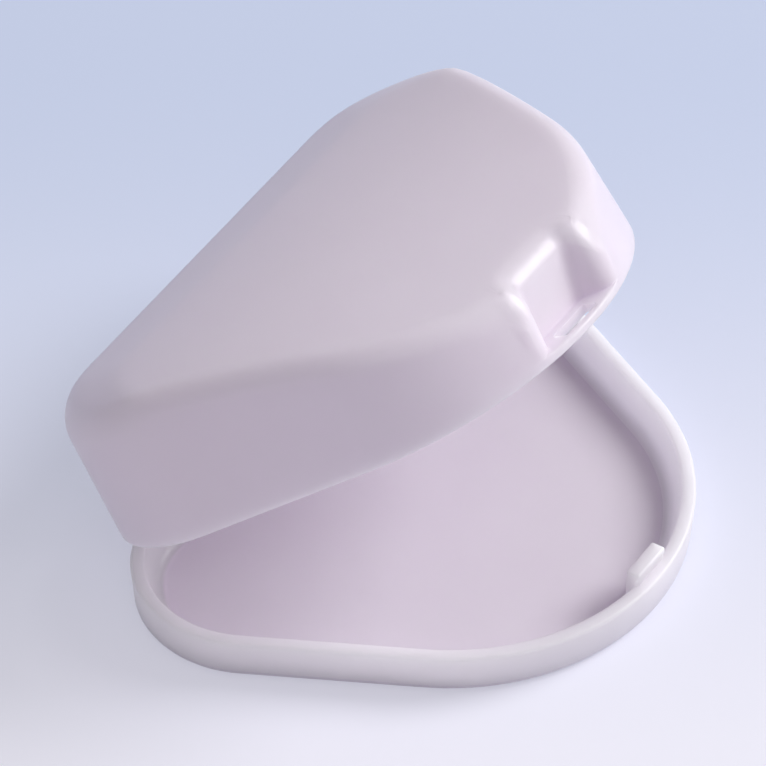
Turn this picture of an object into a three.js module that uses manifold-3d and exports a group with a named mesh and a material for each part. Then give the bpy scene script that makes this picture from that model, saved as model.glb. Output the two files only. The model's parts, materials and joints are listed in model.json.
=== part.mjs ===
// A denture case: a shallow moulded tray and a deep wedge-shaped lid that swings on a pin behind it.
// Millimetres, +Z up. The latch side faces -Y, the hinge is at +Y, and X runs along the hinge pin.
// The tray stands on z = 0. The origin is under the middle of the tray's depth.
import * as THREE from 'three';
import { mergeVertices } from 'three/addons/utils/BufferGeometryUtils.js';
import Module from 'manifold-3d';

const wasm = await Module();
wasm.setup();

const degree = THREE.MathUtils.degToRad(1);

// Plan outline, shared by the tray and the lid: a triangle with one flat side and rounded corners
const caseWidth = 78;
const caseDepth = 58.6;
const backCornerRadius = 14.9;
const sideSlant = 26.6 * degree;
const noseSteps = 12;
const sideSteps = 6;
const cornerSteps = 9;

// Tray
const trayHeight = 6;
const trayWall = 1.9;
const trayFloor = 1.6;
const trayDraft = 0.5;
const trayFootRadius = 1.1;
const trayFloorFillet = 1.2;
const trayInnerDraft = 0.6;
const rimEdge = 0.3;
const roundSteps = 4;

// Lid
const lidWall = 1.35;
const lidDraft = 0.035;
const crownHeight = 19.8;
const crownSetback = 12;
const crownRadius = 115;
const backSlope = 7.5 * degree;
const crestStraight = 20;
const crestBend = 12;
const lidBackRadius = 3.6;
const lidCornerRadius = 1.6;
const lidSideRadius = 3.6;
const lidSideRun = 14;
const crownShares = [0.85, 0.69, 0.56, 0.42, 0.28, 0.14];

// Clearances
const seatGap = 0.3;
const pinGap = 0.3;
const knuckleGap = 0.4;
const latchGap = 0.3;
const overrun = 2;

// Thumb recess in the lid's nose, with a ledge across its foot that the latch comes up through
const recessMouth = 14.4;
const recessBack = 9.6;
const recessDepth = 4.8;
const recessCorner = 1.6;
const recessLean = 0.2;
const ledgeThickness = 1.1;
const ledgeStrip = 0.95;

// Latch tongue, moulded on the tray behind the nose
const latchWidth = 6.2;
const latchThickness = 1.7;
const latchRise = 1.95;
const latchNose = 0.2;
const latchNoseHeight = 0.45;
const latchRound = 0.4;

// Hinge
const openAngle = 33.6 * degree;
const axisBehind = 7;
const axisAbove = 1.2;
const barrelRadius = 2.6;
const barrelLength = 44;
const lidKnuckleLength = 20;
const pinRadius = 1;
const armFoot = 4.4;
const barrelSegments = 32;
const pinSegments = 24;

// Worked out from the sizes above
const halfWidth = caseWidth / 2;
const backY = caseDepth / 2;
const noseY = -backY;
const backCornerX = halfWidth - backCornerRadius;
const backCornerY = backY - backCornerRadius;
const noseRadius = (backCornerX * Math.cos(sideSlant) + backCornerRadius
  - (backCornerY - noseY) * Math.sin(sideSlant)) / (1 - Math.sin(sideSlant));
const noseCentreY = noseY + noseRadius;
const lidRimZ = trayHeight + seatGap;
const axisY = backY + axisBehind;
const axisZ = trayHeight + axisAbove;
const latchFront = noseY + ledgeStrip + latchGap + latchNose;
const latchBack = latchFront + latchThickness;

// Materials: off-white moulded plastic with a breath of mauve, and a bright steel pin
const trayPlastic = new THREE.MeshStandardMaterial({ color: 0xe2d8e2, roughness: 0.38, metalness: 0 });
const lidPlastic = new THREE.MeshStandardMaterial({ color: 0xe2d8e2, roughness: 0.38, metalness: 0 });
const pinSteel = new THREE.MeshStandardMaterial({ color: 0xc4c6c8, roughness: 0.3, metalness: 1 });

// The outline's points, anticlockwise from the middle of the nose, each with the way it faces
function makeOutline() {
  const right = [];
  const addArc = (x, y, radius, from, to, steps) => {
    for (let step = 0; step <= steps; step += 1) {
      const angle = from + (to - from) * step / steps;
      const nx = Math.cos(angle);
      const ny = Math.sin(angle);
      right.push({ x: x + radius * nx, y: y + radius * ny, nx, ny });
    }
  };
  addArc(0, noseCentreY, noseRadius, -Math.PI / 2, -sideSlant, noseSteps);
  const start = right[right.length - 1];
  const endX = backCornerX + backCornerRadius * start.nx;
  const endY = backCornerY + backCornerRadius * start.ny;
  for (let step = 1; step < sideSteps; step += 1) {
    const share = step / sideSteps;
    const x = start.x + (endX - start.x) * share;
    const y = start.y + (endY - start.y) * share;
    right.push({ x, y, nx: start.nx, ny: start.ny });
  }
  addArc(backCornerX, backCornerY, backCornerRadius, -sideSlant, Math.PI / 2, cornerSteps);
  const left = right.slice(1).reverse().map((p) => ({ x: -p.x, y: p.y, nx: -p.nx, ny: p.ny }));
  return right.concat(left);
}

const outline = makeOutline();

// One ring of vertices on the outline, drawn in by inset(p), at the height that heightAt gives
function ring(inset, heightAt) {
  return outline.map((p) => {
    const distance = inset(p);
    const x = p.x - p.nx * distance;
    const y = p.y - p.ny * distance;
    return [x, y, heightAt(p, x, y)];
  });
}

// A closed body through a stack of rings, from the lowest to the highest
function loft(rings, topCentre) {
  const count = outline.length;
  const vertices = rings.flat(2);
  const bottom = rings.length * count;
  const top = bottom + 1;
  vertices.push(0, 0, rings[0][0][2]);
  vertices.push(...topCentre);
  const index = [];
  for (let i = 0; i < count; i += 1) {
    const next = (i + 1) % count;
    index.push(bottom, next, i);
    for (let level = 0; level < rings.length - 1; level += 1) {
      const a = level * count;
      const b = a + count;
      index.push(a + i, a + next, b + next);
      index.push(a + i, b + next, b + i);
    }
    const last = (rings.length - 1) * count;
    index.push(top, last + i, last + next);
  }
  const geometry = new THREE.BufferGeometry();
  geometry.setAttribute('position', new THREE.Float32BufferAttribute(vertices, 3));
  geometry.setIndex(index);
  return geometry;
}

// A profile of [y, z] points, extruded along X
function extrudeAcross(points, fromX, toX) {
  const shape = new THREE.Shape(points.map(([y, z]) => new THREE.Vector2(y, z)));
  const geometry = new THREE.ExtrudeGeometry(shape, { depth: toX - fromX, bevelEnabled: false });
  const along = new THREE.Matrix4().makeBasis(
    new THREE.Vector3(0, 1, 0),
    new THREE.Vector3(0, 0, 1),
    new THREE.Vector3(1, 0, 0),
  );
  return geometry.applyMatrix4(along).translate(fromX, 0, 0);
}

function boxBetween(low, high) {
  const size = high.map((value, axis) => value - low[axis]);
  const middle = high.map((value, axis) => (value + low[axis]) / 2);
  return new THREE.BoxGeometry(...size).translate(...middle);
}

function rodAcross(radius, fromX, toX, segments) {
  const rod = new THREE.CylinderGeometry(radius, radius, toX - fromX, segments);
  return rod.rotateZ(-Math.PI / 2).translate((fromX + toX) / 2, axisY, axisZ);
}

function toSolid(geometry) {
  const bare = geometry.clone();
  bare.deleteAttribute('normal');
  bare.deleteAttribute('uv');
  const merged = mergeVertices(bare);
  return new wasm.Manifold(new wasm.Mesh({
    numProp: 3,
    vertProperties: new Float32Array(merged.getAttribute('position').array),
    triVerts: new Uint32Array(merged.getIndex().array),
  }));
}

function toMesh(name, solid, material) {
  const { vertProperties, triVerts } = solid.getMesh();
  const geometry = new THREE.BufferGeometry();
  geometry.setAttribute('position', new THREE.BufferAttribute(vertProperties, 3));
  geometry.setIndex(new THREE.BufferAttribute(triVerts, 1));
  geometry.computeVertexNormals();
  const mesh = new THREE.Mesh(geometry, material);
  mesh.name = name;
  return mesh;
}

// Hinge knuckle: a bored barrel with an arm that runs to the back wall between two heights
function makeKnuckle(fromX, toX, wallLow, wallHigh) {
  const root = backY - lidWall / 2;
  const arm = extrudeAcross([
    [root, wallLow],
    [axisY, axisZ - barrelRadius],
    [axisY, axisZ + barrelRadius],
    [root, wallHigh],
  ], fromX, toX);
  const barrel = rodAcross(barrelRadius, fromX, toX, barrelSegments);
  const bore = rodAcross(pinRadius + pinGap, fromX - overrun, toX + overrun, barrelSegments);
  return toSolid(barrel).add(toSolid(arm)).subtract(toSolid(bore));
}

// Latch tongue, behind the nose, rooted in the tray's wall and floor
function makeLatch() {
  const tip = trayHeight + latchRise;
  const noseLow = tip - latchRound - latchNoseHeight;
  return toSolid(extrudeAcross([
    [latchFront, trayFloor / 2],
    [latchBack, trayFloor / 2],
    [latchBack, tip - latchRound],
    [latchBack - latchRound, tip],
    [latchFront + latchRound, tip],
    [latchFront - latchNose, tip - latchRound],
    [latchFront - latchNose, noseLow],
    [latchFront, noseLow - latchNose],
  ], -latchWidth / 2, latchWidth / 2));
}

// Rings that turn a quarter circle: the wall's foot on the way out, or a cavity's floor fillet
function footRings(radius, insetAt, floorZ) {
  const rings = [];
  for (let step = 0; step <= roundSteps; step += 1) {
    const angle = Math.PI / 2 * step / roundSteps;
    const z = floorZ + radius * (1 - Math.cos(angle));
    rings.push(ring(() => insetAt(z) + radius * (1 - Math.sin(angle)), () => z));
  }
  return rings;
}

function makeTray() {
  const leanOut = (z) => trayDraft * (1 - z / trayHeight);
  const outside = loft([
    ...footRings(trayFootRadius, leanOut, 0),
    ring(() => leanOut(trayHeight - rimEdge), () => trayHeight - rimEdge),
    ring(() => rimEdge, () => trayHeight),
  ], [0, 0, trayHeight]);
  const cavityTop = trayHeight + overrun;
  const leanIn = (z) => trayWall + trayInnerDraft * (1 - z / trayHeight);
  const cavity = loft([
    ...footRings(trayFloorFillet, leanIn, trayFloor),
    ring(() => leanIn(trayHeight - rimEdge), () => trayHeight - rimEdge),
    ring(() => trayWall - rimEdge - overrun, () => cavityTop),
  ], [0, 0, cavityTop]);
  const outer = barrelLength / 2;
  const inner = lidKnuckleLength / 2 + knuckleGap;
  const wallHigh = trayHeight - rimEdge;
  return toSolid(outside)
    .subtract(toSolid(cavity))
    .add(makeLatch())
    .add(makeKnuckle(-outer, -inner, wallHigh - armFoot, wallHigh))
    .add(makeKnuckle(inner, outer, wallHigh - armFoot, wallHigh));
}

// Height of the lid's top: it curves down to the nose from a crest across its back, and slopes straight down
// behind the crest, whose ends bend forward round the corners
function crownAt(x, y) {
  const crestY = backY - crownSetback;
  const beside = Math.max(Math.abs(x) - crestStraight, 0) / (halfWidth - crestStraight);
  const behind = Math.max(y - crestY + crestBend * beside ** 2, 0);
  const ahead = Math.max(crestY - y, 0);
  const arch = crownRadius - Math.sqrt(crownRadius ** 2 - ahead ** 2);
  return trayHeight + crownHeight - arch - behind * Math.tan(backSlope);
}

// Radius of the lid's top edge: soft along the hinge, crisp at the back corners and soft again along the sides
function edgeRadius(p) {
  const facingBack = Math.max(0, p.ny);
  const pastCorner = THREE.MathUtils.smoothstep(backCornerY - p.y, 0, lidSideRun);
  const side = lidCornerRadius + (lidSideRadius - lidCornerRadius) * pastCorner;
  return facingBack * lidBackRadius + (1 - facingBack) * side;
}

// The lid's outer form, or its hollow when it is drawn in by the wall's thickness
function lidForm(wall, lowZ) {
  const lean = (p, share) => wall + lidDraft * (crownAt(p.x, p.y) - lidRimZ) * share;
  const radiusOf = (p) => Math.max(edgeRadius(p) - wall, lidCornerRadius / 2);
  const rings = [ring((p) => lean(p, 0), () => lowZ)];
  for (let step = 0; step <= roundSteps; step += 1) {
    const angle = Math.PI / 2 * step / roundSteps;
    rings.push(ring(
      (p) => lean(p, 1) + radiusOf(p) * (1 - Math.cos(angle)),
      (p, x, y) => crownAt(x, y) - wall - radiusOf(p) * (1 - Math.sin(angle)),
    ));
  }
  const edge = rings[rings.length - 1];
  for (const share of crownShares) {
    rings.push(edge.map(([x, y]) => [x * share, y * share, crownAt(x * share, y * share) - wall]));
  }
  return loft(rings, [0, 0, crownAt(0, 0) - wall]);
}

// Plan of the thumb recess, grown by a wall's thickness for the wall behind it
function recessPlan(wall) {
  const back = noseY + recessDepth + wall;
  const mouth = recessMouth / 2 + wall;
  const rear = recessBack / 2 + wall;
  const spread = (mouth - rear) / recessDepth;
  const frontY = noseY - overrun;
  const frontX = mouth + overrun * spread;
  const corner = recessCorner + wall;
  const shape = new THREE.Shape();
  shape.moveTo(-frontX, frontY);
  shape.lineTo(frontX, frontY);
  shape.lineTo(rear + corner * spread, back - corner);
  shape.quadraticCurveTo(rear, back, rear - corner, back);
  shape.lineTo(corner - rear, back);
  shape.quadraticCurveTo(-rear, back, -rear - corner * spread, back - corner);
  shape.closePath();
  return shape;
}

// A body over a plan of the recess, from a height up through the top, whose back leans to the nose as it rises
function recessBody(wall, fromZ) {
  const highZ = trayHeight + crownHeight + overrun;
  const settings = { depth: highZ - fromZ, bevelEnabled: false, curveSegments: roundSteps };
  const geometry = new THREE.ExtrudeGeometry(recessPlan(wall), settings).translate(0, 0, fromZ);
  const position = geometry.getAttribute('position');
  for (let i = 0; i < position.count; i += 1) {
    const inwards = Math.min((position.getY(i) - noseY) / recessDepth, 1);
    const rise = position.getZ(i) - lidRimZ - ledgeThickness;
    position.setY(i, position.getY(i) - recessLean * rise * inwards);
  }
  return toSolid(geometry);
}

function makeLid() {
  const recess = recessBody(0, lidRimZ + ledgeThickness);
  const recessWall = recessBody(lidWall, lidRimZ - overrun);
  const slotHalf = latchWidth / 2 + latchGap;
  const slot = boxBetween(
    [-slotHalf, noseY + ledgeStrip, lidRimZ - overrun],
    [slotHalf, latchBack + latchGap, lidRimZ + ledgeThickness + overrun],
  );
  const hollow = toSolid(lidForm(lidWall, lidRimZ - overrun)).subtract(recessWall);
  const knuckleEnd = lidKnuckleLength / 2;
  const knuckle = makeKnuckle(-knuckleEnd, knuckleEnd, lidRimZ + rimEdge, lidRimZ + rimEdge + armFoot);
  let lid = toSolid(lidForm(0, lidRimZ)).subtract(hollow).add(knuckle);
  lid = lid.subtract(recess).subtract(toSolid(slot));
  return lid;
}

function makePin() {
  const end = barrelLength / 2 - pinGap;
  return toSolid(rodAcross(pinRadius, -end, end, pinSegments));
}

// Assembly: the lid is drawn shut, then swung open about the hinge pin
const dentureCase = new THREE.Group();
dentureCase.add(toMesh('base_tray', makeTray(), trayPlastic));
dentureCase.add(toMesh('hinge_pin', makePin(), pinSteel));

const hinge = new THREE.Group();
hinge.position.set(0, axisY, axisZ);
hinge.rotation.x = -openAngle;
const lidMesh = toMesh('hinged_lid', makeLid(), lidPlastic);
lidMesh.position.set(0, -axisY, -axisZ);
hinge.add(lidMesh);
dentureCase.add(hinge);

export default dentureCase;
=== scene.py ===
import json
import math

import bmesh
import bpy
from mathutils import Matrix, Vector


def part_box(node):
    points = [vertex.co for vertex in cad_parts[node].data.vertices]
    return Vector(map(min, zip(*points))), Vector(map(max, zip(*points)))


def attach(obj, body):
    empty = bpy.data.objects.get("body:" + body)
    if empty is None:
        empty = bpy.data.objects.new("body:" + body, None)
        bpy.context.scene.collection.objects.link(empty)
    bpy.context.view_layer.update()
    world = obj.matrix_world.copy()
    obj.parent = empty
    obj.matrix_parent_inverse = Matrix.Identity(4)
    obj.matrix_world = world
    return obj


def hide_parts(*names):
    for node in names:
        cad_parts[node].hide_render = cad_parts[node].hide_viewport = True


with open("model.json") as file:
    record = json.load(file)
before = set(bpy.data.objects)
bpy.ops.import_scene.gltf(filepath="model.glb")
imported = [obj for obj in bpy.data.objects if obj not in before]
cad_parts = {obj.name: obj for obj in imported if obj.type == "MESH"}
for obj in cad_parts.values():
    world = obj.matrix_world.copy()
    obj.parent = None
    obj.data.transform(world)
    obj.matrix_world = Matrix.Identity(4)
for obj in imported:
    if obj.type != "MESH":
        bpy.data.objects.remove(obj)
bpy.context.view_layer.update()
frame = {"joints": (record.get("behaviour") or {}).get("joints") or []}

mm = 0.001

# Camera and daylight table
# The case stands on a plain pale table, whiter in front and bluer behind. A large soft light comes from the
# nose side and a weak one from over the camera, which looks down on the left flank from a metre away.
view_azimuth = math.radians(-57.4)
view_elevation = math.radians(43.6)
view_distance = 1000 * mm
view_width = 94 * mm
near_clip = 0.1
far_clip = 10
aim = Vector((0.6 * mm, 11.2 * mm, 17.4 * mm))
toward_camera = Vector((
    math.sin(view_azimuth) * math.cos(view_elevation),
    -math.cos(view_azimuth) * math.cos(view_elevation),
    math.sin(view_elevation),
))
image_right = Vector((math.cos(view_azimuth), math.sin(view_azimuth), 0))
away = -toward_camera.xy.to_3d().normalized()

camera_data = bpy.data.cameras.new("camera")
camera = bpy.data.objects.new("camera", camera_data)
bpy.context.scene.collection.objects.link(camera)
camera.location = aim + toward_camera * view_distance
camera.rotation_euler = toward_camera.to_track_quat("Z", "Y").to_euler()
camera_data.lens = camera_data.sensor_width * view_distance / view_width
camera_data.clip_start = near_clip
camera_data.clip_end = far_clip
bpy.context.scene.camera = camera


def add_softbox(name, direction, distance, power):
    lamp_data = bpy.data.lights.new(name, "AREA")
    lamp_data.shape = "DISK"
    lamp_data.size = softbox_size
    lamp_data.energy = power
    lamp = bpy.data.objects.new(name, lamp_data)
    bpy.context.scene.collection.objects.link(lamp)
    lamp.location = aim + direction.normalized() * distance
    lamp.rotation_euler = direction.to_track_quat("Z", "Y").to_euler()


up = Vector((0, 0, 1))
softbox_size = 0.8
window_distance = 1.4
window_power = 16.5
fill_distance = 1.6
fill_power = 1.6
add_softbox("window", image_right + away * 0.4 + up * 0.79, window_distance, window_power)
add_softbox("fill", up - away * 0.9, fill_distance, fill_power)

sky_tone = (0.97, 0.97, 1.0, 1)
sky_strength = 0.34
world = bpy.data.worlds.new("pale_sky")
bpy.context.scene.world = world
world.use_nodes = True
world.node_tree.nodes["Background"].inputs["Color"].default_value = sky_tone
world.node_tree.nodes["Background"].inputs["Strength"].default_value = sky_strength
bpy.context.scene.view_settings.view_transform = "Standard"

table_reach = 3
table_roughness = 0.75
table_front_tone = (0.90, 0.885, 0.97, 1)
table_back_tone = (0.57, 0.63, 0.81, 1)
fade_front = -70 * mm
fade_back = 90 * mm
seen_glow_share = 0.4
seen_glow_strength = 1.15
table_mesh = bmesh.new()
bmesh.ops.create_grid(table_mesh, x_segments=1, y_segments=1, size=table_reach)
table_data = bpy.data.meshes.new("table_top")
table_mesh.to_mesh(table_data)
table_mesh.free()
table = bpy.data.objects.new("table_top", table_data)
bpy.context.scene.collection.objects.link(table)
table_paint = bpy.data.materials.new("pale_table")
table_paint.use_nodes = True
table_nodes = table_paint.node_tree.nodes
table_links = table_paint.node_tree.links
table_shader = table_nodes["Principled BSDF"]
table_shader.inputs["Roughness"].default_value = table_roughness
table_place = table_nodes.new("ShaderNodeTexCoord")
table_turn = table_nodes.new("ShaderNodeMapping")
table_turn.inputs["Rotation"].default_value = (0, 0, -math.atan2(away.y, away.x))
table_axes = table_nodes.new("ShaderNodeSeparateXYZ")
table_fade = table_nodes.new("ShaderNodeMapRange")
table_fade.interpolation_type = "SMOOTHSTEP"
table_fade.inputs["From Min"].default_value = fade_front
table_fade.inputs["From Max"].default_value = fade_back
table_tone = table_nodes.new("ShaderNodeMix")
table_tone.data_type = "RGBA"
table_tone.inputs["A"].default_value = table_front_tone
table_tone.inputs["B"].default_value = table_back_tone
table_links.new(table_place.outputs["Object"], table_turn.inputs["Vector"])
table_links.new(table_turn.outputs["Vector"], table_axes.inputs["Vector"])
table_links.new(table_axes.outputs["X"], table_fade.inputs["Value"])
table_links.new(table_fade.outputs["Result"], table_tone.inputs["Factor"])
table_links.new(table_tone.outputs["Result"], table_shader.inputs["Base Color"])
table_rays = table_nodes.new("ShaderNodeLightPath")
table_seen = table_nodes.new("ShaderNodeMath")
table_seen.operation = "MAXIMUM"
table_mirrored = table_nodes.new("ShaderNodeMath")
table_mirrored.operation = "MAXIMUM"
table_share = table_nodes.new("ShaderNodeMath")
table_share.operation = "MULTIPLY"
table_share.inputs[1].default_value = seen_glow_share
table_glow = table_nodes.new("ShaderNodeEmission")
table_glow.inputs["Strength"].default_value = seen_glow_strength
table_blend = table_nodes.new("ShaderNodeMixShader")
table_links.new(table_rays.outputs["Is Glossy Ray"], table_mirrored.inputs[0])
table_links.new(table_rays.outputs["Is Transmission Ray"], table_mirrored.inputs[1])
table_links.new(table_rays.outputs["Is Camera Ray"], table_seen.inputs[0])
table_links.new(table_mirrored.outputs["Value"], table_seen.inputs[1])
table_links.new(table_seen.outputs["Value"], table_share.inputs[0])
table_links.new(table_share.outputs["Value"], table_blend.inputs["Fac"])
table_links.new(table_tone.outputs["Result"], table_glow.inputs["Color"])
table_links.new(table_shader.outputs["BSDF"], table_blend.inputs[1])
table_links.new(table_glow.outputs["Emission"], table_blend.inputs[2])
table_links.new(table_blend.outputs["Shader"], table_nodes["Material Output"].inputs["Surface"])
table_data.materials.append(table_paint)

# Tray, the lower half of the case
# One shallow polypropylene moulding: a flat floor, a low drafted wall with a plain rounded rim, a stiff latch
# tongue behind the nose and two hinge knuckles on arms behind the back wall. It stands on its underside.
case_width = 78 * mm
case_depth = 58.6 * mm
back_corner_radius = 14.9 * mm
side_slant = math.radians(26.6)
tray_height = 6 * mm
tray_wall = 1.9 * mm
tray_floor = 1.6 * mm
tray_draft = 0.5 * mm
tray_foot_radius = 1.1 * mm
tray_floor_fillet = 1.7 * mm
tray_inner_draft = 1.5 * mm
rim_round = 0.4 * mm
latch_width = 6.2 * mm
latch_thickness = 1.7 * mm
latch_rise = 1.95 * mm
latch_nose = 0.2 * mm
latch_round = 0.4 * mm
latch_edge = 0.3 * mm
ledge_strip = 0.95 * mm
latch_gap = 0.3 * mm
knuckle_gap = 0.4 * mm
barrel_radius = 2.6 * mm
barrel_length = 44 * mm
lid_knuckle_length = 20 * mm
arm_foot = 4.4 * mm
arm_root = 0.7 * mm
bore_radius = 1.3 * mm
knuckle_edge = 0.3 * mm
inward_shares = (0.97, 0.75, 0.4, 0.05)
merge_distance = 0.002 * mm
crisp_angle = math.radians(32)
floor_light_tone = (0.84, 0.765, 0.855)
floor_dark_tone = (0.80, 0.725, 0.815)
floor_light_reach = 3 * mm
# Painted glow: the walls, rim, latch and knuckles get a paler copy of the plastic than the floor, standing in
# for light shining through the thin walls. Their longer light reach also lets some real light through.
wall_painted_glow_tone = (0.92, 0.84, 0.93)
wall_painted_glow_clouded_tone = (0.89, 0.81, 0.90)
wall_light_reach = 8 * mm
painted_glow_above = tray_floor + 0.12 * mm

hinge = frame["joints"][0]
pivot = Vector(hinge["pos_m"])
half_width = case_width / 2
back_y = case_depth / 2
nose_y = -back_y
corner_x = half_width - back_corner_radius
corner_y = back_y - back_corner_radius
nose_radius = (
    corner_x * math.cos(side_slant) + back_corner_radius - (corner_y - nose_y) * math.sin(side_slant)
) / (1 - math.sin(side_slant))
nose_centre = Vector((0, nose_y + nose_radius))
back_corner = Vector((corner_x, corner_y))


def arc(centre, radius, start, end, steps):
    """Points round a centre, each with the way it faces: outwards for a bulge, inwards for a hollow."""
    stations = []
    for step in range(steps + 1):
        angle = start + (end - start) * step / steps
        ray = Vector((math.cos(angle), math.sin(angle)))
        stations.append((centre + ray * abs(radius), ray if radius > 0 else -ray))
    return stations


def straight(start, end, steps):
    """Points between two others on a straight stretch, ends left out."""
    facing = start[1]
    return [(start[0].lerp(end[0], step / steps), facing) for step in range(1, steps)]


def flank(from_angle, nose_steps):
    """The right half of the outline, from a place on the nose round to the middle of the back."""
    nose = arc(nose_centre, nose_radius, from_angle, -side_slant, nose_steps)
    corner = arc(back_corner, back_corner_radius, -side_slant, math.pi / 2, 30)
    back = (Vector((0, back_y)), Vector((0, 1)))
    return nose + straight(nose[-1], corner[0], 18) + corner + straight(corner[-1], back, 16) + [back]


def mirrored(right_half):
    """A full outline from its right half, whose first and last points lie on the middle line."""
    left_half = [(Vector((-p.x, p.y)), Vector((-n.x, n.y))) for p, n in right_half[1:-1]]
    return right_half + left_half[::-1]


def drawn_in(outline, inset, height):
    return [Vector((p.x - n.x * inset, p.y - n.y * inset, height)) for p, n in outline]


def shrunk(ring, share):
    return [Vector((p.x * share, p.y * share, p.z)) for p in ring]


def quarter(steps):
    return [math.pi / 2 * step / steps for step in range(steps + 1)]


def loft(rings):
    """A closed shell through rings of points: each is extruded from the last, and both ends get a pole."""
    shell = bmesh.new()
    corners = [shell.verts.new(point) for point in rings[0]]
    edges = [shell.edges.new(pair) for pair in zip(corners, corners[1:] + corners[:1])]
    ends = [edges]
    for ring in rings[1:]:
        grown = bmesh.ops.extrude_edge_only(shell, edges=edges)["geom"]
        fresh = {part for part in grown if isinstance(part, bmesh.types.BMVert)}
        corners = [
            next(edge.other_vert(corner) for edge in corner.link_edges if edge.other_vert(corner) in fresh)
            for corner in corners
        ]
        for corner, point in zip(corners, ring):
            corner.co = point
        edges = [shell.edges.get(pair) for pair in zip(corners, corners[1:] + corners[:1])]
    ends.append(edges)
    for loop in ends:
        cap = bmesh.ops.contextual_create(shell, geom=loop)["faces"]
        bmesh.ops.poke(shell, faces=cap)
    bmesh.ops.recalc_face_normals(shell, faces=shell.faces)
    return shell


def extruded_across(profile, half_length, edge):
    """A profile of (y, z) points, extruded along X to both sides of the middle, with its edges eased."""
    block = bmesh.new()
    corners = [block.verts.new((-half_length, y, z)) for y, z in profile]
    face = block.faces.new(corners)
    grown = bmesh.ops.extrude_face_region(block, geom=[face])["geom"]
    moved = [part for part in grown if isinstance(part, bmesh.types.BMVert)]
    bmesh.ops.translate(block, vec=(2 * half_length, 0, 0), verts=moved)
    bmesh.ops.recalc_face_normals(block, faces=block.faces)
    sharp = [e for e in block.edges if e.calc_face_angle(0) > math.radians(35)]
    bmesh.ops.bevel(
        block, geom=sharp, offset=edge, offset_type="OFFSET", segments=3,
        profile=0.5, affect="EDGES", clamp_overlap=True, material=-1,
    )
    return block


def make_knuckle(centre_x, length, wall_low, wall_high):
    """A hinge barrel on an arm that springs from the back wall between two heights; the bore for the pin is
    cut afterwards.
    """
    root = back_y - arm_root
    turns = [math.pi * (step / 18 - 0.5) for step in range(19)]
    barrel = [
        (pivot.y + barrel_radius * math.cos(turn), pivot.z + barrel_radius * math.sin(turn)) for turn in turns
    ]
    knuckle = extruded_across([(root, wall_low)] + barrel + [(root, wall_high)], length / 2, knuckle_edge)
    bmesh.ops.translate(knuckle, vec=(centre_x, 0, 0), verts=knuckle.verts)
    return knuckle


def rod(radius, half_length, edge):
    """A round rod on the hinge axis, with its ends eased."""
    bar = bmesh.new()
    turned = Matrix.Translation(pivot) @ Matrix.Rotation(math.pi / 2, 4, "Y")
    bmesh.ops.create_cone(
        bar, cap_ends=True, segments=48, radius1=radius, radius2=radius,
        depth=2 * half_length, matrix=turned,
    )
    if edge:
        ends = [e for e in bar.edges if e.calc_face_angle(0) > math.radians(60)]
        bmesh.ops.bevel(
            bar, geom=ends, offset=edge, offset_type="OFFSET", segments=4,
            profile=0.5, affect="EDGES", clamp_overlap=True, material=-1,
        )
    return bar


def as_object(name, mesh):
    data = bpy.data.meshes.new(name)
    mesh.to_mesh(data)
    mesh.free()
    piece = bpy.data.objects.new(name, data)
    bpy.context.scene.collection.objects.link(piece)
    return piece


def moulded_as_one(piece, additions, cuts):
    """Joins and cuts solids into one moulding and shades it smooth, with only real corners left crisp."""
    for operation, tools in (("UNION", additions), ("DIFFERENCE", cuts)):
        for number, tool_mesh in enumerate(tools):
            tool = as_object(f"{piece.name}_{operation.lower()}_{number}", tool_mesh)
            joiner = piece.modifiers.new("join", "BOOLEAN")
            joiner.operation = operation
            joiner.solver = "EXACT"
            joiner.object = tool
            graph = bpy.context.evaluated_depsgraph_get()
            joined = bpy.data.meshes.new_from_object(piece.evaluated_get(graph))
            piece.modifiers.clear()
            piece.data = joined
            bpy.data.objects.remove(tool)
    finish = bmesh.new()
    finish.from_mesh(piece.data)
    bmesh.ops.remove_doubles(finish, verts=finish.verts, dist=merge_distance)
    for face in finish.faces:
        face.smooth = True
    for edge in finish.edges:
        edge.smooth = edge.calc_face_angle(0) < crisp_angle
    finish.to_mesh(piece.data)
    finish.free()


def sink_marks():
    """Shared effect: the long soft unevenness and the fine tooth that a mould leaves on plastic."""
    group = bpy.data.node_groups.new("mould_surface", "ShaderNodeTree")
    for name in ("Wave", "Grain", "Cloud"):
        group.interface.new_socket(name + " Scale", in_out="INPUT", socket_type="NodeSocketFloat")
    group.interface.new_socket("Height", in_out="OUTPUT", socket_type="NodeSocketFloat")
    group.interface.new_socket("Clouding", in_out="OUTPUT", socket_type="NodeSocketFloat")
    nodes = group.nodes
    links = group.links
    given = nodes.new("NodeGroupInput")
    result = nodes.new("NodeGroupOutput")
    place = nodes.new("ShaderNodeTexCoord")
    wave = nodes.new("ShaderNodeTexNoise")
    grain = nodes.new("ShaderNodeTexNoise")
    cloud = nodes.new("ShaderNodeTexNoise")
    wave.inputs["Detail"].default_value = 1
    grain.inputs["Detail"].default_value = 2
    cloud.inputs["Detail"].default_value = 3
    for texture, name in ((wave, "Wave"), (grain, "Grain"), (cloud, "Cloud")):
        links.new(place.outputs["Object"], texture.inputs["Vector"])
        links.new(given.outputs[name + " Scale"], texture.inputs["Scale"])
    fine = nodes.new("ShaderNodeMath")
    fine.operation = "MULTIPLY_ADD"
    fine.inputs[1].default_value = 0.06
    links.new(grain.outputs["Fac"], fine.inputs[0])
    links.new(wave.outputs["Fac"], fine.inputs[2])
    links.new(fine.outputs["Value"], result.inputs["Height"])
    links.new(cloud.outputs["Fac"], result.inputs["Clouding"])
    return group


mould_surface = sink_marks()


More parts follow.
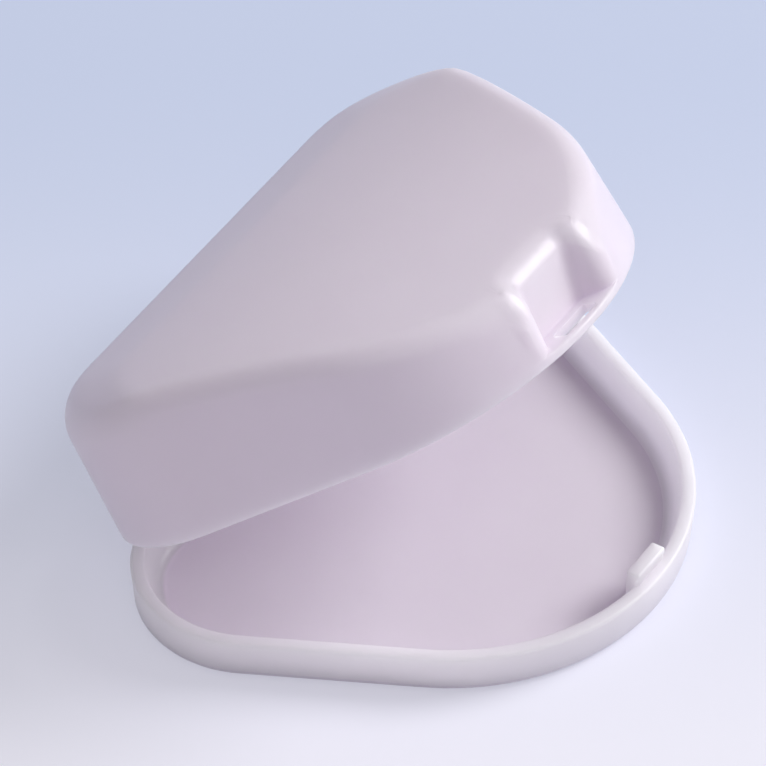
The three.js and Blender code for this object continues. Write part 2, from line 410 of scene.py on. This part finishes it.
def moulded_plastic(name, light_tone, dark_tone, light_reach):
    """Off-white polypropylene: a satin skin over a milky body that light gets into as far as its reach."""
    plastic = bpy.data.materials.new(name)
    plastic.use_nodes = True
    nodes = plastic.node_tree.nodes
    links = plastic.node_tree.links
    shader = nodes["Principled BSDF"]
    shader.inputs["IOR"].default_value = 1.49
    shader.inputs["Subsurface Weight"].default_value = 1
    shader.inputs["Subsurface Radius"].default_value = (1.0, 1.0, 1.0)
    shader.inputs["Subsurface Scale"].default_value = light_reach
    surface = nodes.new("ShaderNodeGroup")
    surface.node_tree = mould_surface
    surface.inputs["Wave Scale"].default_value = 55
    surface.inputs["Grain Scale"].default_value = 2600
    surface.inputs["Cloud Scale"].default_value = 90
    tone = nodes.new("ShaderNodeMix")
    tone.data_type = "RGBA"
    tone.inputs["A"].default_value = (*dark_tone, 1)
    tone.inputs["B"].default_value = (*light_tone, 1)
    links.new(surface.outputs["Clouding"], tone.inputs["Factor"])
    links.new(tone.outputs["Result"], shader.inputs["Base Color"])
    gloss = nodes.new("ShaderNodeMapRange")
    gloss.inputs["To Min"].default_value = 0.3
    gloss.inputs["To Max"].default_value = 0.42
    links.new(surface.outputs["Clouding"], gloss.inputs["Value"])
    links.new(gloss.outputs["Result"], shader.inputs["Roughness"])
    relief = nodes.new("ShaderNodeBump")
    relief.inputs["Strength"].default_value = 0.35
    relief.inputs["Distance"].default_value = 0.12 * mm
    links.new(surface.outputs["Height"], relief.inputs["Height"])
    links.new(relief.outputs["Normal"], shader.inputs["Normal"])
    return plastic


def make_tray():
    outline = mirrored(flank(-math.pi / 2, 34))
    lean_out = lambda z: tray_draft * (1 - z / tray_height)
    lean_in = lambda z: tray_wall + tray_inner_draft * (1 - z / tray_height)
    rings = []
    sole = drawn_in(outline, lean_out(0) + tray_foot_radius, 0)
    rings += [shrunk(sole, share) for share in inward_shares[::-1]]
    for turn in quarter(6):
        z = tray_foot_radius * (1 - math.cos(turn))
        rings.append(drawn_in(outline, lean_out(z) + tray_foot_radius * (1 - math.sin(turn)), z))
    shoulder_z = tray_height - rim_round
    rings.append(drawn_in(outline, lean_out(shoulder_z - rim_round), shoulder_z - rim_round))
    for turn in quarter(5):
        z = shoulder_z + rim_round * math.sin(turn)
        rings.append(drawn_in(outline, lean_out(shoulder_z) + rim_round * (1 - math.cos(turn)), z))
    for turn in quarter(5)[::-1]:
        z = shoulder_z + rim_round * math.sin(turn)
        rings.append(drawn_in(outline, tray_wall - rim_round * (1 - math.cos(turn)), z))
    for turn in quarter(8)[::-1]:
        z = tray_floor + tray_floor_fillet * (1 - math.cos(turn))
        rings.append(drawn_in(outline, lean_in(z) + tray_floor_fillet * (1 - math.sin(turn)), z))
    rings += [shrunk(rings[-1], share) for share in inward_shares]
    return loft(rings)


def make_latch():
    front = nose_y + ledge_strip + latch_gap + latch_nose
    back = front + latch_thickness
    tip = tray_height + latch_rise
    return extruded_across([
        (front, tray_floor / 2),
        (back, tray_floor / 2),
        (back, tip),
        (front - latch_nose, tip),
        (front - latch_nose, tip - 2 * latch_round),
        (front, tip - 2 * latch_round - 2 * latch_nose),
    ], latch_width / 2, latch_edge)


tray = as_object("tray", make_tray())
arm_high = tray_height - rim_round
tray_knuckle = (barrel_length - lid_knuckle_length) / 2 - knuckle_gap
tray_knuckle_x = (barrel_length - tray_knuckle) / 2
moulded_as_one(
    tray,
    [make_latch()] + [
        make_knuckle(side * tray_knuckle_x, tray_knuckle, arm_high - arm_foot, arm_high) for side in (-1, 1)
    ],
    [rod(bore_radius, barrel_length, 0)],
)
tray.data.materials.clear()
floor_plastic = moulded_plastic("floor_plastic", floor_light_tone, floor_dark_tone, floor_light_reach)
wall_plastic = moulded_plastic("wall_plastic", wall_painted_glow_tone, wall_painted_glow_clouded_tone, wall_light_reach)
tray.data.materials.append(floor_plastic)
tray.data.materials.append(wall_plastic)
# Painted glow: every face above the floor takes the paler wall copy of the plastic, and the floor keeps the
# plain tone.
for face in tray.data.polygons:
    if face.center.z > painted_glow_above:
        face.material_index = 1
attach(tray, "tray")
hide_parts("base_tray")

# Hinge pin
# A straight length of drawn stainless wire with broken ends, pressed through the tray's knuckles.
# Only its two ends show, in the mouths of the bores.
pin_low, pin_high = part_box("hinge_pin")
pin_radius = (pin_high.z - pin_low.z) / 2
pin_edge = 0.25 * mm
steel_tone = (0.62, 0.62, 0.63, 1)
pin = as_object("pin", rod(pin_radius, (pin_high.x - pin_low.x) / 2, pin_edge))
for face in pin.data.polygons:
    face.use_smooth = True
pin_steel = bpy.data.materials.new("drawn_steel")
pin_steel.use_nodes = True
steel_nodes = pin_steel.node_tree.nodes
steel_links = pin_steel.node_tree.links
steel_shader = steel_nodes["Principled BSDF"]
steel_shader.inputs["Metallic"].default_value = 1
steel_shader.inputs["Base Color"].default_value = steel_tone
steel_place = steel_nodes.new("ShaderNodeTexCoord")
steel_stretch = steel_nodes.new("ShaderNodeMapping")
steel_stretch.inputs["Scale"].default_value = (60, 9000, 9000)
draw_lines = steel_nodes.new("ShaderNodeTexNoise")
draw_lines.inputs["Scale"].default_value = 1
steel_gloss = steel_nodes.new("ShaderNodeMapRange")
steel_gloss.inputs["To Min"].default_value = 0.2
steel_gloss.inputs["To Max"].default_value = 0.38
steel_links.new(steel_place.outputs["Object"], steel_stretch.inputs["Vector"])
steel_links.new(steel_stretch.outputs["Vector"], draw_lines.inputs["Vector"])
steel_links.new(draw_lines.outputs["Fac"], steel_gloss.inputs["Value"])
steel_links.new(steel_gloss.outputs["Result"], steel_shader.inputs["Roughness"])
pin.data.materials.append(pin_steel)
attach(pin, "tray")
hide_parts("hinge_pin")

# Lid, the upper half of the case
# One deep thin-walled polypropylene moulding, drawn shut here and swung open at the end: a crowned top that
# falls to the nose, a thumb recess in the nose with a slotted ledge across its foot, and the middle knuckle.
lid_wall = 1.35 * mm
lid_draft = 0.035
seat_gap = 0.3 * mm
crown_height = 19.7 * mm
crown_setback = 12 * mm
crown_radius = 115 * mm
back_slope = math.radians(7.5)
crest_straight = 27 * mm
crest_bend = 17 * mm
lid_back_radius = 3.6 * mm
lid_corner_radius = 3.2 * mm
lid_side_radius = 2.6 * mm
lid_side_run = 14 * mm
inner_radius = 0.8 * mm
lid_rim_round = 0.25 * mm
recess_mouth = 14.4 * mm
recess_back = 9.6 * mm
recess_depth = 4.8 * mm
recess_corner = 1.6 * mm
recess_lean = 0.2
mouth_round = 2.4 * mm
brow_round = 2.3 * mm
brow_fade = 8 * mm
ledge_thickness = 1.1 * mm
ledge_round = 0.3 * mm
ledge_rise = 0.02 * mm
slot_corner = 0.35 * mm
slot_height = 6 * mm
slot_drop = 2.5 * mm
lid_light_tone = (0.835, 0.735, 0.84)
lid_dark_tone = (0.805, 0.705, 0.81)
lid_light_reach = 4 * mm
crown_steps = 26
crown_shares = [1 - step / crown_steps for step in range(1, crown_steps)]

rim_z = tray_height + seat_gap
ledge_z = rim_z + ledge_thickness


def crown(place):
    """Height of the top over a place in plan: it curves down to the nose from a crest that runs across the
    back and bends forward round the corners, and slopes straight down behind it."""
    crest_y = back_y - crown_setback
    beside = max(abs(place.x) - crest_straight, 0) / (half_width - crest_straight)
    behind = max(place.y - crest_y + crest_bend * beside**2, 0)
    ahead = max(crest_y - place.y, 0)
    arch = crown_radius - math.sqrt(crown_radius**2 - ahead**2)
    return tray_height + crown_height - arch - behind * math.tan(back_slope)


def smooth_share(value):
    share = min(max(value, 0), 1)
    return share * share * (3 - 2 * share)


def edge_radius(y, facing_back):
    """How round the top edge is: softest along the hinge, then round the corners, crisper on the sides."""
    past_corner = smooth_share((corner_y - y) / lid_side_run)
    side = lid_corner_radius + (lid_side_radius - lid_corner_radius) * past_corner
    return facing_back * lid_back_radius + (1 - facing_back) * side


def fall(depth, radius):
    """How far a rounded edge has dropped at a depth inside the outline."""
    if depth >= radius:
        return 0
    return radius - math.sqrt(max(radius**2 - (radius - max(depth, 0)) ** 2, 0))


def depth_inside(point):
    """Distance from a place in plan to the plain outline, on the nose half."""
    from_nose = point - nose_centre
    side = Vector((math.cos(side_slant), -math.sin(side_slant)))
    mirrored_place = Vector((abs(point.x), point.y))
    flank_depth = back_corner_radius - (mirrored_place - back_corner).dot(side)
    if math.atan2(from_nose.y, abs(from_nose.x)) < -side_slant:
        return min(flank_depth, nose_radius - from_nose.length)
    return flank_depth


def recess_half():
    """The lid's outline with the thumb recess: from the middle of its back wall out to the nose."""
    slope = Vector((recess_back - recess_mouth, 2 * recess_depth)).normalized()
    into_lid = Vector((slope.y, -slope.x))
    mouth = Vector((recess_mouth / 2, nose_y))
    back = nose_y + recess_depth
    slant = math.atan2(into_lid.y, into_lid.x)
    hollow_y = back - recess_corner
    hollow_x = mouth.x - (recess_corner + (hollow_y - mouth.y) * into_lid.y) / into_lid.x
    hollow = arc(Vector((hollow_x, hollow_y)), -recess_corner, math.pi / 2, slant, 8)
    offset = mouth + into_lid * mouth_round - nose_centre
    half_b = offset.dot(slope)
    reach = -half_b - math.sqrt(half_b**2 - offset.length_squared + (nose_radius - mouth_round) ** 2)
    bulge_centre = nose_centre + offset + slope * reach
    outwards = bulge_centre - nose_centre
    nose_angle = math.atan2(outwards.y, outwards.x)
    bulge = arc(bulge_centre, mouth_round, slant - math.pi, nose_angle, 12)
    middle = (Vector((0, back)), Vector((0, -1)))
    half = [middle] + straight(middle, hollow[0], 8) + hollow
    half += straight(hollow[-1], bulge[0], 6) + bulge
    return half, nose_angle


recess_part, nose_start = recess_half()
lid_outline = mirrored(recess_part + flank(nose_start, 30)[1:])
notched = len(recess_part)


def on_plain_outline(index):
    """The place of a station of the lid's outline on the plain outline, straight out from the recess."""
    place, facing = lid_outline[index]
    if min(index, len(lid_outline) - index) >= notched:
        return place, facing
    out = Vector((place.x, -math.sqrt(nose_radius**2 - place.x**2)))
    return nose_centre + out, out.normalized()


plain_outline = [on_plain_outline(index) for index in range(len(lid_outline))]


def recess_weight(index):
    """1 on the recess, fading to 0 along the nose beside it."""
    steps = min(index, len(lid_outline) - index)
    if steps < notched:
        return 1
    place = lid_outline[index][0]
    beside = Vector((abs(place.x), place.y))
    return 1 - smooth_share((beside - recess_part[-1][0]).length / brow_fade)


weights = [recess_weight(index) for index in range(len(lid_outline))]


def recess_shift(place, height, weight):
    """How far the back of the recess has come towards the nose at a height, as it leans out in rising."""
    if weight < 1:
        return 0
    inwards = min(max((place.y - nose_y) / recess_depth, 0), 1)
    return recess_lean * max(height - ledge_z, 0) * inwards


def brow_ring(wall, turn):
    """A ring round the top edge, from the top of the wall at turn 0 to the crowned top at a quarter turn."""
    ring = []
    for (place, facing), weight in zip(lid_outline, weights):
        plain_radius = max(edge_radius(place.y, max(0, facing.y)) - wall, inner_radius)
        if wall:
            eased = min(brow_round, inner_radius)
        else:
            eased = brow_round
        radius = plain_radius + (eased - plain_radius) * weight
        lean = lid_draft * (crown(place) - rim_z) * (1 - weight)
        point = place - facing * (wall + lean + radius * (1 - math.cos(turn)))
        point.y -= recess_shift(place, crown(place) - radius, weight)
        height = crown(point) - wall - plain_radius * (1 - math.sin(turn))
        if weight:
            nose_edge = max(edge_radius(point.y, 0) - wall, inner_radius)
            eased_height = crown(point) - wall - fall(depth_inside(point) - wall - lean, nose_edge)
            eased_height -= eased * (1 - math.sin(turn))
            height += (eased_height - height) * weight
        ring.append(Vector((point.x, point.y, height)))
    return ring


def crown_ring(edge, wall, share):
    """A ring on the crowned top, drawn towards the middle of the lid."""
    ring = []
    for start, weight in zip(edge, weights):
        point = start.xy * share
        height = crown(point) - wall
        if point.y < 0:
            nose_edge = max(edge_radius(point.y, 0) - wall, inner_radius)
            lean = lid_draft * (crown(point) - rim_z) * (1 - weight)
            height -= fall(depth_inside(point) - wall - lean, nose_edge)
        ring.append(Vector((point.x, point.y, height)))
    return ring


def wall_ring(outline, inset, height):
    """A ring on the upright wall, which leans in a little as it rises."""
    ring = []
    for (place, facing), weight in zip(outline, weights):
        lean = lid_draft * max(height - rim_z, 0) * (1 - weight)
        point = place - facing * (inset + lean)
        ring.append(Vector((point.x, point.y, height)))
    return ring


def ledge_rings():
    """Rings over the recess's ledge: its eased outer edge, its top, and the hollow corner at its back."""
    rings = []
    room = [
        min(ledge_round, 0.4 * (plain[0] - place[0]).length)
        for plain, place in zip(plain_outline, lid_outline)
    ]
    for turn in quarter(3):
        height = ledge_z - ledge_round * (1 - math.sin(turn))
        ring = wall_ring(plain_outline, 0, height)
        for index, (_, facing) in enumerate(plain_outline):
            eased = facing * room[index] * (1 - math.cos(turn))
            ring[index] -= eased.to_3d()
        rings.append(ring)
    for turn in quarter(3):
        height = ledge_z + ledge_rise + ledge_round * (1 - math.cos(turn))
        ring = wall_ring(lid_outline, 0, height)
        for index, (_, facing) in enumerate(lid_outline):
            eased = facing * room[index] * (1 - math.sin(turn))
            ring[index] += eased.to_3d()
        rings.append(ring)
    return rings


def make_lid():
    inner_edge = brow_ring(lid_wall, math.pi / 2)
    rings = [crown_ring(inner_edge, lid_wall, share) for share in crown_shares[::-1]]
    rings += [brow_ring(lid_wall, turn) for turn in quarter(5)[::-1]]
    rings.append(wall_ring(lid_outline, lid_wall, rim_z + 2 * lid_rim_round))
    for turn in quarter(3):
        inset = lid_wall - lid_rim_round * (1 - math.cos(turn))
        rings.append(wall_ring(lid_outline, inset, rim_z + lid_rim_round * (1 - math.sin(turn))))
    for turn in quarter(3)[::-1]:
        inset = lid_rim_round * (1 - math.cos(turn))
        rings.append(wall_ring(plain_outline, inset, rim_z + lid_rim_round * (1 - math.sin(turn))))
    rings.append(wall_ring(plain_outline, 0, rim_z + 2 * lid_rim_round))
    rings += ledge_rings()
    rings += [brow_ring(0, turn) for turn in quarter(9)]
    outer_edge = rings[-1]
    rings += [crown_ring(outer_edge, 0, share) for share in crown_shares]
    return loft(rings)


def make_slot():
    """The latch's way through the ledge."""
    slot = bmesh.new()
    bmesh.ops.create_cube(slot, size=1)
    front = nose_y + ledge_strip
    back = front + 2 * latch_gap + latch_nose + latch_thickness
    bmesh.ops.scale(slot, vec=(latch_width + 2 * latch_gap, back - front, slot_height), verts=slot.verts)
    bmesh.ops.translate(slot, vec=(0, (front + back) / 2, ledge_z - slot_drop), verts=slot.verts)
    upright = [e for e in slot.edges if abs(e.verts[0].co.z - e.verts[1].co.z) > mm]
    bmesh.ops.bevel(
        slot, geom=upright, offset=slot_corner, offset_type="OFFSET", segments=4,
        profile=0.5, affect="EDGES", clamp_overlap=True, material=-1,
    )
    return slot


lid = as_object("lid", make_lid())
lid_arm_low = rim_z + rim_round
moulded_as_one(
    lid,
    [make_knuckle(0, lid_knuckle_length, lid_arm_low, lid_arm_low + arm_foot)],
    [rod(bore_radius, barrel_length, 0), make_slot()],
)
opened = math.radians(-hinge["range_deg"][0])
swing = Matrix.Rotation(opened, 4, Vector(hinge["axis"]))
lid.data.transform(Matrix.Translation(pivot) @ swing @ Matrix.Translation(-pivot))
lid.data.materials.clear()
lid_plastic = moulded_plastic("lid_plastic", lid_light_tone, lid_dark_tone, lid_light_reach)
lid.data.materials.append(lid_plastic)
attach(lid, "lid")
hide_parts("hinged_lid")
